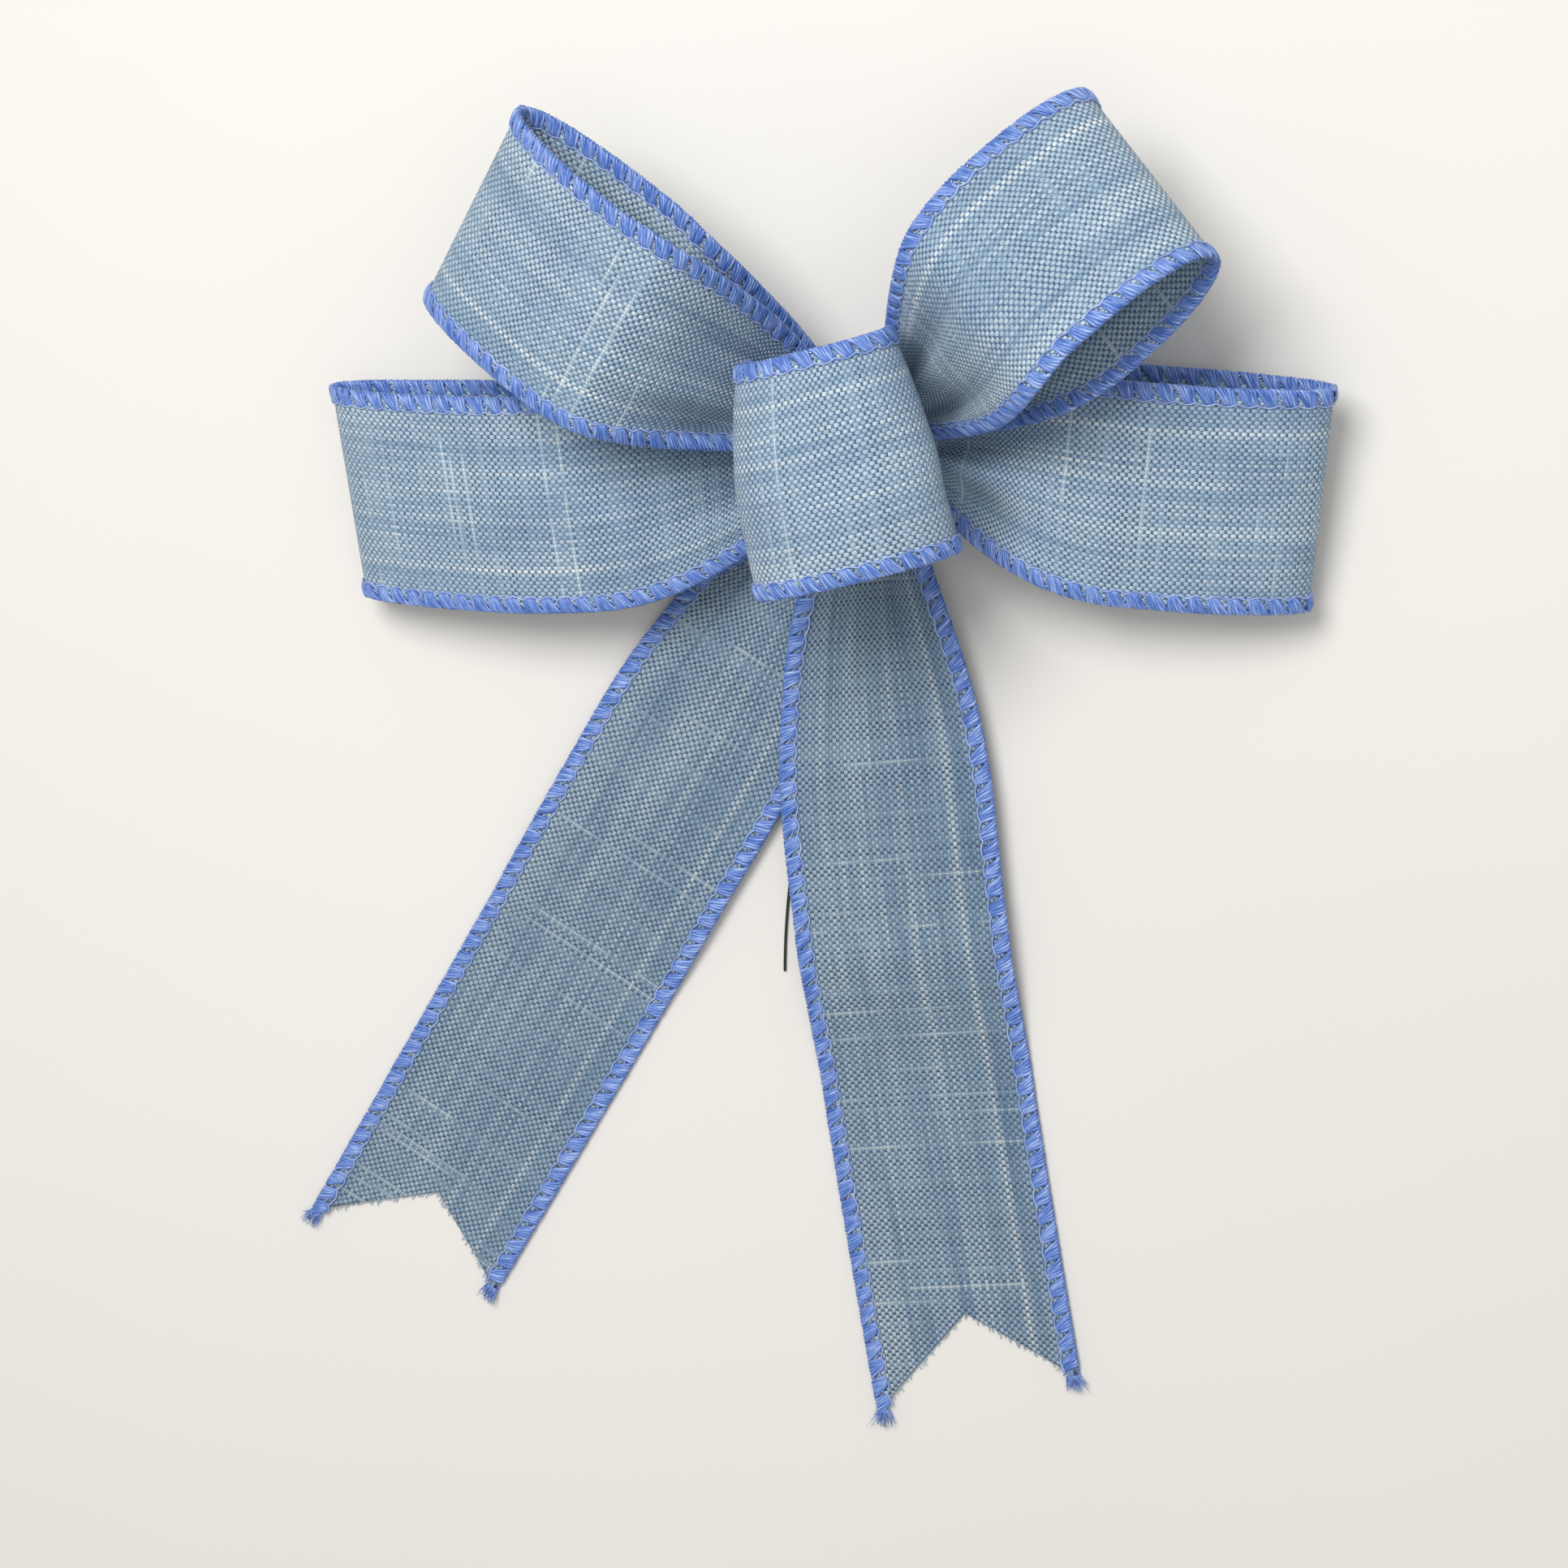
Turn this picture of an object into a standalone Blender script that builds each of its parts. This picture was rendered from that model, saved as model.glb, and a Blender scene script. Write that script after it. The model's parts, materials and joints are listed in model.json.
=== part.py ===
"""A ready-made gift bow of wired-edge ribbon, lying on its back: four loops, a centre loop and two tails.

The bow lies in the XY plane with its face up (+Z) and its tails toward -Y. The origin is the middle of
its outline on the plane it rests on. Every ribbon length is a strip of cloth with a stitched sleeve and a
thin wire along each edge, and a twisted tie wire gathers them all at the core.
"""

from math import cos, exp, pi, radians, sin, tau

import bmesh
import bpy
from mathutils import Vector

MM = 0.001

# Driving dimensions, in metres.
TIE = Vector((13.4, 56.9, 0.0)) * MM    # where the gather stands, seen from the middle of the outline
RIBBON_WIDTH = 38.1 * MM                # 1.5 inch wired ribbon
CLOTH_THICKNESS = 0.5 * MM
SLEEVE_WIDTH = 3.2 * MM                 # the overlocked edge, across the ribbon
SLEEVE_THICKNESS = 1.6 * MM
SLEEVE_WALL = 0.35 * MM
EDGE_WIRE_DIAMETER = 0.4 * MM
TIE_WIRE_DIAMETER = 0.5 * MM
CLEARANCE = 0.3 * MM                    # between neighbouring pieces

ROOT_RADIUS = 9.2 * MM                  # where a ribbon leaves the gathered core
GATHERED_HALF_WIDTH = 5.2 * MM          # a ribbon's half-width where it is pinched
LAYER_GAP = 3.1 * MM                    # between a loop's two layers at its root

CORE_RADIUS = 8.5 * MM
CORE_BOTTOM = 1.7 * MM
CORE_TOP = 16.2 * MM
CORE_WAIST = 0.55                       # the tie wire pinches the core to this share of its size
CORE_WAIST_LENGTH = 2.4 * MM
CORE_FLATTENING = 1.35                  # how far a ball is overblown and clipped to make the drum
CORE_PLEATS = 12
CORE_PLEAT_DEPTH = 0.03                 # a share of the core's radius

LOOP_STEPS = 20
TAIL_STEPS = 14
CLOTH_COLUMNS = 4
SLEEVE_SIDES = 6

TWIST_START = 8.4 * MM                  # the twist under the tails lies between these distances
TWIST_END = 20.0 * MM
TWIST_TURNS = 3
TWIST_RADIUS = 0.33 * MM
TWIST_HEIGHT = 0.62 * MM
# One row a free end of the tie wire: its side, its length and how far it spreads sideways.
WIRE_ENDS = {"left": (-1, 72.3 * MM, 12.6 * MM), "right": (1, 64.0 * MM, 4.6 * MM)}
WIRE_END_HEIGHT = 0.33 * MM

CLOTH_BLUE = (0.20, 0.33, 0.55)
STITCH_BLUE = (0.14, 0.27, 0.62)
WIRE_STEEL = (0.55, 0.55, 0.56)
TIE_WIRE_GREEN = (0.02, 0.03, 0.02)

# One row a loop, angles in degrees and sizes in millimetres: where it points, how far it reaches, how it
# rolls about its own length, the height of its mid-line at the root, at its highest and at the fold, the
# half-opening, how far it bows sideways, and the share of its reach at which it is highest.
LOOPS = {
    "lower_left": dict(
        heading=185.6, reach=92.4, roll=-9.0, heights=(6.5, 13.4, 10.0), opening=6.4, bow=4.6, rise=0.42
    ),
    "lower_right": dict(
        heading=-5.9, reach=76.8, roll=9.0, heights=(6.1, 12.6, 9.6), opening=6.4, bow=-1.4, rise=0.42
    ),
    "upper_left": dict(
        heading=146.6, reach=72.6, roll=-15.0, heights=(12.9, 36.6, 33.0), opening=6.8, bow=1.4, rise=0.46
    ),
    "upper_right": dict(
        heading=41.0, reach=67.2, roll=-23.0, heights=(12.9, 35.8, 33.0), opening=8.3, bow=-0.9, rise=0.45
    ),
}
LOOP_SPREAD = 37.0 * MM                 # length over which a gathered loop opens to its full width
LOOP_CROWN = 1.4 * MM                   # how far a layer bulges across its width near the gather
LOOP_CROWN_END = 0.8                    # the share of the reach at which that bulge has died away
LOOP_ROLL_START = 0.15                  # a loop takes up its roll between these shares of its reach
LOOP_ROLL_END = 0.6
LOOP_BOW_SKEW = 0.7                     # below 1, a loop bows most nearer its root than its fold
TEARDROP_PEAK = 0.77                    # the greatest value of sin(a) sin(a / 2), to scale the opening

KNOT_BASE = 17.2 * MM
KNOT_HEIGHT = 27.5 * MM
KNOT_OPENING = 13.8 * MM
KNOT_TURN = 14.0                        # degrees the centre loop is turned about the vertical
KNOT_SPREAD = 15.0 * MM
KNOT_TAPER = 0.14                       # how much narrower its upper end is than its middle
KNOT_CROWN = 2.6 * MM
KNOT_LEAN = Vector((1.6, -1.8, 0.0)) * MM   # its top, from straight above its base

# One row a tail: where it points, the length to its left tip, to the notch and to its right tip, how far
# it bows sideways, and the height it keeps where it crosses over the other tail.
TAILS = {
    "left": dict(heading=239.4, tips=(177.0, 159.9, 169.9), bow=0.0, crossing=2.4),
    "right": dict(heading=276.6, tips=(171.7, 154.0, 166.6), bow=-4.2, crossing=4.7),
}
TAIL_SPREAD = 57.0 * MM
TAIL_REST = 112.0 * MM                  # from here on a tail lies flat
TAIL_DIP_START = 86.0 * MM
TAIL_CUT_MARGIN = 5.0 * MM              # the notch's cut starts this far beyond the last square row
TAIL_CUT_TURN = 12.0 / 14.0             # the share of a tail's rows that are square
TAIL_BOW_SKEW = 0.8                     # below 1, a tail bows most nearer its root than its tip


def clear_scene():
    for old in list(bpy.data.objects):
        bpy.data.objects.remove(old, do_unlink=True)


def smooth(low, high, value):
    """0 below low, 1 above high, and an S-curve between."""
    share = min(max((value - low) / (high - low), 0.0), 1.0)
    return share * share * (3.0 - 2.0 * share)


def opening_share(distance, spread):
    """How much of its full width a ribbon has at this distance from the gather."""
    left = 1.0 - min(distance / spread, 1.0)
    pinched = GATHERED_HALF_WIDTH / (RIBBON_WIDTH / 2)
    return pinched + (1.0 - pinched) * (1.0 - left * left)


def flat_heading(degrees):
    return Vector((cos(radians(degrees)), sin(radians(degrees)), 0.0))


def teardrop(turn):
    """A closed loop's distance out (0 to 1) and height off its mid-line (-1 to 1), for turn 0 to 1."""
    angle = tau * turn
    return (1.0 - cos(angle)) / 2.0, -sin(angle) * sin(angle / 2.0) / TEARDROP_PEAK


def loop_point(loop, turn, across):
    """A point of a flat-lying loop's ribbon: across is -1 at its right edge and 1 at its left edge."""
    out, lift = teardrop(turn)
    heading = flat_heading(loop["heading"])
    roll = radians(loop["roll"]) * smooth(LOOP_ROLL_START, LOOP_ROLL_END, out)
    side = Vector((-heading.y, heading.x, 0.0))
    width_way = side * cos(roll) + Vector((0.0, 0.0, sin(roll)))
    face_way = heading.cross(width_way)
    length = loop["reach"] * MM - ROOT_RADIUS
    distance = length * out
    root, middle, fold = (height * MM for height in loop["heights"])
    rise = loop["rise"]
    height = root + (middle - root) * smooth(0.0, rise, out) + (fold - middle) * smooth(rise, 1.0, out)
    centre = TIE + heading * (ROOT_RADIUS + distance) + Vector((0.0, 0.0, height))
    centre += side * loop["bow"] * MM * sin(pi * out ** LOOP_BOW_SKEW)
    facing = 1.0 if turn > 0.5 else -1.0
    crown = LOOP_CROWN * sin(pi * min(out / LOOP_CROWN_END, 1.0)) * (1.0 - across * across) * facing
    offset = loop["opening"] * MM * lift - cos(pi * turn) * LAYER_GAP / 2.0 + crown
    half_width = RIBBON_WIDTH / 2.0 * opening_share(distance, LOOP_SPREAD)
    return centre + face_way * offset + width_way * across * half_width, half_width, width_way


def knot_point(_, turn, across):
    """A point of the centre loop's ribbon, which stands up from the core like a short open tube."""
    out, lift = teardrop(turn)
    width_way = flat_heading(90.0 + KNOT_TURN)
    face_way = Vector((0.0, 0.0, 1.0)).cross(width_way)
    distance = KNOT_HEIGHT * out
    crown = KNOT_CROWN * (1.0 - across * across) * out
    centre = TIE + KNOT_LEAN * out + Vector((0.0, 0.0, KNOT_BASE + distance + crown))
    opening = KNOT_OPENING * (1.0 - KNOT_TAPER * across)
    offset = opening * lift - cos(pi * turn) * LAYER_GAP / 2.0
    half_width = RIBBON_WIDTH / 2.0 * opening_share(distance, KNOT_SPREAD)
    return centre + face_way * offset + width_way * across * half_width, half_width, width_way


def tail_point(tail, turn, across):
    """A point of a tail's ribbon, from the gather (turn 0) to its notched end (turn 1)."""
    left_tip, notch, right_tip = (tip * MM for tip in tail["tips"])
    tip = right_tip if across > 0.0 else left_tip
    length = notch + (tip - notch) * abs(across)
    square_end = notch - TAIL_CUT_MARGIN
    if turn <= TAIL_CUT_TURN:
        reach = ROOT_RADIUS + (square_end - ROOT_RADIUS) * turn / TAIL_CUT_TURN
    else:
        reach = square_end + (length - square_end) * (turn - TAIL_CUT_TURN) / (1.0 - TAIL_CUT_TURN)
    heading = flat_heading(tail["heading"])
    side = Vector((-heading.y, heading.x, 0.0))
    rest = SLEEVE_THICKNESS / 2.0
    height = rest + (tail["crossing"] * MM - rest) * (1.0 - smooth(TAIL_DIP_START, TAIL_REST, reach))
    bow = tail["bow"] * MM * sin(pi * min(reach / left_tip, 1.0) ** TAIL_BOW_SKEW)
    half_width = RIBBON_WIDTH / 2.0 * opening_share(reach - ROOT_RADIUS, TAIL_SPREAD)
    cloth_edge = 1.0 - (SLEEVE_WIDTH + CLEARANCE) / half_width
    sag = (SLEEVE_THICKNESS - CLOTH_THICKNESS) / 2.0 * smooth(cloth_edge, cloth_edge / 2.0, abs(across))
    height -= sag * smooth(TAIL_DIP_START, TAIL_REST, reach)
    point = TIE + heading * reach + side * (bow + across * half_width) + Vector((0.0, 0.0, height))
    return point, half_width, side


def strip_frames(shape, point_at, inset, steps):
    """Points, width directions and face directions along a ribbon, inset (signed) from its edge."""
    frames = []
    edge = 1.0 if inset > 0.0 else -1.0
    nudge = 0.004  # of the ribbon's length, to either side, for its direction
    for step in range(steps + 1):
        turn = step / steps
        half_width = point_at(shape, turn, edge)[1]
        across = edge * (1.0 - abs(inset) / half_width)
        centre, _, width_way = point_at(shape, turn, across)
        ahead = point_at(shape, min(turn + nudge, 1.0), across)[0]
        behind = point_at(shape, max(turn - nudge, 0.0), across)[0]
        along = (ahead - behind).normalized()
        frames.append((centre, width_way, along.cross(width_way).normalized()))
    return frames


def material(name, colour, roughness, metallic):
    made = bpy.data.materials.new(name)
    made.use_nodes = True
    shader = made.node_tree.nodes["Principled BSDF"]
    shader.inputs["Base Color"].default_value = (*colour, 1.0)
    shader.inputs["Roughness"].default_value = roughness
    shader.inputs["Metallic"].default_value = metallic
    return made


def add_object(name, data, collection, surface, pivot):
    """An object whose origin stands on its joint's axis."""
    if isinstance(data, bpy.types.Mesh):
        for vertex in data.vertices:
            vertex.co -= pivot
    made = bpy.data.objects.new(name, data)
    made.location = pivot
    data.materials.append(surface)
    collection.objects.link(made)
    return made


def grid_mesh(name, rows, columns, place, closed):
    """A grid of rows by columns quads, moved into shape by place(row share, column share)."""
    mesh = bpy.data.meshes.new(name)
    shape = bmesh.new()
    bmesh.ops.create_grid(shape, x_segments=rows, y_segments=columns, size=0.5)
    for vertex in shape.verts:
        vertex.co = place(vertex.co.x + 0.5, vertex.co.y + 0.5)
    if closed:
        bmesh.ops.remove_doubles(shape, verts=shape.verts, dist=0.00001)
    shape.to_mesh(mesh)
    shape.free()
    return mesh


def add_thickness(made, thickness, offset):
    solid = made.modifiers.new("Thickness", "SOLIDIFY")
    solid.thickness = thickness
    solid.offset = offset
    solid.use_even_offset = True


def add_cloth(name, shape, point_at, steps, collection, surface, pivot):
    """The woven strip between the two edge sleeves."""
    inset = SLEEVE_WIDTH + CLEARANCE

    def place(along, column):
        across = 2.0 * column - 1.0
        half_width = point_at(shape, along, across)[1]
        return point_at(shape, along, across * (1.0 - inset / half_width))[0]

    mesh = grid_mesh(name, steps, CLOTH_COLUMNS, place, closed=False)
    add_thickness(add_object(name, mesh, collection, surface, pivot), CLOTH_THICKNESS, 0.0)


def add_sleeve(name, frames, collection, surface, pivot):
    """The flat stitched tube around an edge wire."""
    last = len(frames) - 1

    def place(along, around):
        centre, width_way, face_way = frames[round(along * last)]
        angle = -tau * around  # this way round the faces point out
        wide = SLEEVE_WIDTH / 2.0 * cos(angle)
        thick = SLEEVE_THICKNESS / 2.0 / sin(tau / SLEEVE_SIDES) * sin(angle)
        return centre + width_way * wide + face_way * thick

    mesh = grid_mesh(name, last, SLEEVE_SIDES, place, closed=True)
    add_thickness(add_object(name, mesh, collection, surface, pivot), SLEEVE_WALL, -1.0)


def add_wire(name, points, diameter, sides, collection, surface, pivot):
    """A round wire through the points, with closed ends."""
    curve = bpy.data.curves.new(name, "CURVE")
    curve.dimensions = "3D"
    curve.bevel_depth = diameter / 2.0
    curve.bevel_resolution = sides // 2 - 2
    curve.use_fill_caps = True
    line = curve.splines.new("POLY")
    line.points.add(len(points) - 1)
    for spot, point in zip(line.points, points):
        spot.co = (*(point - pivot), 1.0)
    return add_object(name, curve, collection, surface, pivot)


def add_ribbon(name, shape, point_at, steps, collection, surfaces, pivot):
    """One length of wired ribbon: its cloth, its two stitched edges and the wire in each of them."""
    add_cloth(f"{name}_cloth", shape, point_at, steps, collection, surfaces["cloth"], pivot)
    for side, inset in (("left", SLEEVE_WIDTH / 2.0), ("right", -SLEEVE_WIDTH / 2.0)):
        edge = f"{name}_{side}_edge"
        frames = strip_frames(shape, point_at, inset, steps)
        add_sleeve(f"{edge}_stitching", frames, collection, surfaces["stitching"], pivot)
        line = [centre for centre, _, _ in frames]
        add_wire(f"{edge}_wire", line, EDGE_WIRE_DIAMETER, 4, collection, surfaces["steel"], pivot)


def add_core(collection, surface):
    """The gathered cloth that the tie wire pinches, a drum with a waist and soft pleats."""
    mesh = bpy.data.meshes.new("gathered_core")
    shape = bmesh.new()
    bmesh.ops.create_uvsphere(shape, u_segments=2 * CORE_PLEATS, v_segments=10, radius=1.0)
    middle = (CORE_TOP + CORE_BOTTOM) / 2.0
    half_high = (CORE_TOP - CORE_BOTTOM) / 2.0
    for vertex in shape.verts:
        flat = Vector((vertex.co.x, vertex.co.y, 0.0))
        angle = flat.angle(Vector((1.0, 0.0, 0.0)), 0.0)
        rim = min(1.0, CORE_FLATTENING * flat.length)
        pleat = 1.0 - CORE_PLEAT_DEPTH * (1.0 - cos(CORE_PLEATS * angle))
        radius = CORE_RADIUS * rim * pleat
        spot = flat.normalized() * radius if flat.length > 0.0 else flat
        rise = half_high * max(-1.0, min(1.0, CORE_FLATTENING * vertex.co.z))
        waist = 1.0 - (1.0 - CORE_WAIST) * exp(-((spot.x / CORE_WAIST_LENGTH) ** 2))
        vertex.co = TIE + Vector((spot.x, spot.y * waist, middle + rise * waist))
    shape.to_mesh(mesh)
    shape.free()
    add_object("gathered_core", mesh, collection, surface, TIE)


def twist_point(strand, distance):
    """A point of one of the two strands twisted together under the tails."""
    share = (distance - TWIST_START) / (TWIST_END - TWIST_START)
    angle = tau * TWIST_TURNS * share + pi * strand
    sideways = TWIST_RADIUS * cos(angle)
    return TIE + Vector((sideways, -distance, TWIST_HEIGHT + TWIST_RADIUS * sin(angle)))


def add_tie_wire(collection, surface):
    """The wire around the core's waist, whose ends are twisted together on the back."""
    ring_steps = 22
    twist_steps = 8 * TWIST_TURNS
    ring_gap = pi / 6.0  # left open at either side of the twist
    half_high = (KNOT_BASE - TWIST_HEIGHT) / 2.0 - CLEARANCE
    middle = TWIST_HEIGHT + half_high
    half_wide = CORE_RADIUS * CORE_WAIST + 2.0 * TIE_WIRE_DIAMETER
    strands = []
    for strand in (0, 1):
        step_length = (TWIST_END - TWIST_START) / twist_steps
        stations = [TWIST_END - step_length * step for step in range(twist_steps + 1)]
        strands.append([twist_point(strand, distance) for distance in stations])
    ring = []
    for step in range(1, ring_steps):
        angle = -pi / 2.0 - ring_gap - (tau - 2.0 * ring_gap) * step / ring_steps
        lean = TWIST_RADIUS * (1.0 - 2.0 * step / ring_steps)
        ring.append(TIE + Vector((lean, half_wide * cos(angle), middle + half_high * sin(angle))))
    line = strands[0] + ring + strands[1][::-1]
    add_wire("tie_wire", line, TIE_WIRE_DIAMETER, 6, collection, surface, TIE)


def wire_end_pivot(side):
    return TIE + Vector((side * TWIST_RADIUS, -TWIST_END - CLEARANCE - TIE_WIRE_DIAMETER, TWIST_HEIGHT))


def add_wire_end(name, side, length, spread, collection, surface):
    """A free end of the tie wire, which runs on under the tails."""
    steps = 10
    start = wire_end_pivot(side)
    points = []
    for step in range(steps + 1):
        share = step / steps
        sideways = side * spread * sin(pi / 2.0 * share)
        drop = (WIRE_END_HEIGHT - TWIST_HEIGHT) * smooth(0.0, 0.2, share)
        points.append(start + Vector((sideways, -length * share, drop)))
    add_wire(name, points, TIE_WIRE_DIAMETER, 6, collection, surface, start)


def root_pivot(heading, height):
    """The axis point of a loop or tail: on its mid-line, where it leaves the core."""
    return TIE + flat_heading(heading) * ROOT_RADIUS + Vector((0.0, 0.0, height))


def build():
    clear_scene()
    collection = bpy.data.collections.new("gift_bow")
    bpy.context.scene.collection.children.link(collection)
    surfaces = {
        "cloth": material("woven_ribbon", CLOTH_BLUE, 0.75, 0.0),
        "stitching": material("overlock_thread", STITCH_BLUE, 0.45, 0.0),
        "steel": material("edge_wire_steel", WIRE_STEEL, 0.35, 1.0),
        "tie": material("coated_tie_wire", TIE_WIRE_GREEN, 0.5, 0.0),
    }
    for name, loop in LOOPS.items():
        pivot = root_pivot(loop["heading"], loop["heights"][0] * MM)
        add_ribbon(f"{name}_loop", loop, loop_point, LOOP_STEPS, collection, surfaces, pivot)
    knot_pivot = TIE + Vector((0.0, 0.0, KNOT_BASE))
    add_ribbon("centre_loop", None, knot_point, LOOP_STEPS, collection, surfaces, knot_pivot)
    for name, tail in TAILS.items():
        pivot = TIE + Vector((0.0, 0.0, tail["crossing"] * MM))
        add_ribbon(f"{name}_tail", tail, tail_point, TAIL_STEPS, collection, surfaces, pivot)
    add_core(collection, surfaces["cloth"])
    add_tie_wire(collection, surfaces["tie"])
    for name, (side, length, spread) in WIRE_ENDS.items():
        add_wire_end(f"tie_wire_{name}_end", side, length, spread, collection, surfaces["tie"])


build()
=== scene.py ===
"""The looks of a ready-made gift bow: woven ribbon with stitched, wired edges, around the CAD frame."""

import json
from math import cos, pi, radians, sin, tau

import bpy
import numpy as np
from mathutils import Matrix, Vector


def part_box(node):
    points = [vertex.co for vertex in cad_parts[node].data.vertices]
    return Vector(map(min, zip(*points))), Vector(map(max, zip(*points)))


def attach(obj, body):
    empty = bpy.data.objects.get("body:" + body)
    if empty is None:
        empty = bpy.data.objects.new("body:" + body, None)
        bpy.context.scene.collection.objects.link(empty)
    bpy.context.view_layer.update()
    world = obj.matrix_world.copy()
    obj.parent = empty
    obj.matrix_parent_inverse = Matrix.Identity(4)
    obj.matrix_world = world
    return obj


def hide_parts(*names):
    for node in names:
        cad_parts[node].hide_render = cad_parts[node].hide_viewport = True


MM = 0.001

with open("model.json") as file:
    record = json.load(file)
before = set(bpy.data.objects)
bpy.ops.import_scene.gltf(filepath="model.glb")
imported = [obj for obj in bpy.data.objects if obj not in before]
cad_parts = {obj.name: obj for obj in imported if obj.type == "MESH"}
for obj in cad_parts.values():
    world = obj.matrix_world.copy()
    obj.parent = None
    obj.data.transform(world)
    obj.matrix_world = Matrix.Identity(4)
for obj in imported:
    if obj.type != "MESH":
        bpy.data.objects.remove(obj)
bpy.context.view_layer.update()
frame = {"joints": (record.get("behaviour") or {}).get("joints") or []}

# ---------------------------------------------------------------- driving dimensions
# Lengths are in metres unless a comment names another unit. Shares and counts have none.
RIBBON_WIDTH = 38.1 * MM
CLOTH_THICKNESS = 0.34 * MM
CLOTH_ROW = 0.9 * MM                 # spacing of the cloth mesh's rows
CLOTH_COLUMNS = 41
CLOTH_EDGE_INSET = 1.1 * MM          # how far inside the ribbon's rim the cloth itself ends
ROOT_TUCK = 1.0                      # how far the cloth runs in past its gathered end, in rows
NOTCH_ROWS = 0.04                    # the share of a tail before its notch where rows fan out towards the cut
UV_SPACING = 10.0                    # from one ribbon's weave to the next one's, in ribbon widths
LENGTH_SAMPLES = 1600                # points at which a ribbon is sampled to measure along it
WARP_PITCH = 0.65 * MM               # threads that run along the ribbon, centre to centre
WEFT_PITCH = 0.63 * MM               # threads that run across it

EDGE_BAND = 3.2 * MM                 # the overlocked band, across the ribbon
BAND_PLACE = 0.93                    # in half widths across: where the cut threads stop and the band begins
TILT_STEP = 0.06                     # how far in from its band an edge's tilt is read, in half widths
EDGE_WIRE_RADIUS = 0.2 * MM
EDGE_WIRE_STEP = 1.2 * MM

STITCH_PITCH = 3.3 * MM
STITCH_POINTS = 14                   # points of a strand's path in each stitch
STITCH_SCATTER = 0.035               # how unevenly the stitches are spaced, as a share of their pitch
STITCH_STRANDS = 5                   # filament bundles side by side in one stitch
STITCH_LIFT = 0.45 * MM              # how far the stitches stand off the middle of the cloth
STITCH_FULLNESS = 0.6                # an exponent: the lower, the more squarely the strands turn over the rim
STITCH_ROUNDING = 0.16               # how much further a stitch's middle strand stands off, as a share
STITCH_SHIFT = -0.04 * MM            # of all stitches; less than 0 is towards mid-ribbon
STITCH_MARGIN = 0.36 * MM            # from the band's limits to where the strands turn back
NEEDLE_SHARE = 0.55                  # a stitch's width at the needle line, as a share of its width at the rim
STRAND_RADIUS = 0.33 * MM
STRAND_FLATNESS = 0.85
STRAND_SLACK = 0.05 * MM

WINDOW_PHASE = 0.9                   # how far the locking thread's bulges are shifted, in radians
SCALLOP_PLACE = 0.46 * MM            # the locking thread near the needle line, from the band's inner limit
SCALLOP_DEPTH = 0.48 * MM            # how far it bulges over the cloth
SCALLOP_LOW = 0.30 * MM              # its height at a bulge, off the middle of the cloth
SCALLOP_RISE = 0.22 * MM             # how much higher it is between bulges
SCALLOP_RADIUS = 0.15 * MM
ZIGZAG_PLACE = -0.12 * MM            # the locking thread at mid-band; less than 0 is towards mid-ribbon
ZIGZAG_SWING = 0.34 * MM             # to each side of that
ZIGZAG_HEIGHT = 0.36 * MM            # off the middle of the cloth
ZIGZAG_RADIUS = 0.11 * MM

FRAY_FILAMENTS = 60                  # at the cut end of each stitched edge
FRAY_RADIUS = 0.10 * MM
FRAY_LENGTHS = (0.9, 3.2)            # shortest and longest, in millimetres
FRAY_PLACES = (0.86, 0.985)          # innermost and outermost, across the tail
FRAY_ROOTS = (0.012, 0.004)          # how far before the cut their direction is read, in tail lengths
FRAY_SPLAY, FRAY_OUTWARD = 0.26, 0.12                  # how far they splay and lean out, in their own lengths
FRAY_CURL = 0.5                      # how far their tips curl sideways, in millimetres
FRAY_RISES = (-0.2, 0.8)             # least and most that their tips rise, in millimetres
FRAY_LIFT = 0.2 * MM                 # how far above the middle of the cloth they start
FRAY_REST = 0.12 * MM                # the lowest that a filament lies
FRAY_TAPER = 0.6                     # how much thinner it is at its tip, as a share
CUT_LENGTHS = (0.25, 1.1)            # of the cut threads, shortest and longest, in millimetres
CUT_ROOT = 0.4                       # how far back in the cloth they start, as a share of that
CUT_BEND = 0.25                      # how far they bend sideways, in millimetres
CUT_RADIUS = 0.14 * MM
CUT_TAPER = 0.35                     # how much thinner they are at their tips, as a share
CUT_LOOK_BACK = 0.01                 # how far before the cut their direction is read, in tail lengths

ROOT_RADIUS = 9.2 * MM               # where a ribbon leaves the gathered core
GATHERED_HALF_WIDTH = 5.2 * MM
LAYER_GAP = 3.1 * MM                 # between the two layers of a loop at the gather
TEARDROP_PEAK = 0.77                 # the height of the plain teardrop formula, which is scaled to 1

PLEAT_WAVES = ((1.6, 1.0), (2.7, 0.8), (4.3, 0.45))    # waves across a ribbon, and their depth as a share
PLEAT_DRIFT = 10.0 * MM              # the distance in which a pleat's phase drifts by up to half a radian
PLEAT_START, PLEAT_FULL = -2.0 * MM, 8.0 * MM          # distances from the gather between which they deepen
PLEAT_REACH = 16.0 * MM              # how far from the gather a loop's pleats fade out
BACK_PLEAT = 0.35                    # the depth of the pleats in a loop's back layer, in millimetres
BACK_SEED = 50                       # added to a loop's seed for its back layer
EDGE_HOLD = 0.5                      # how much of a loop's pleats its wired edges hold down, as a share
SLACK_WAVES = 4                      # how many slack waves a ribbon has
SLACK_SEED = 100                     # added to a ribbon's seed for them
SLACK_LENGTHS = (28.0, 70.0)         # their shortest and longest, in millimetres
SLACK_SUM = 2.5                      # what their sum is divided by

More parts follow.
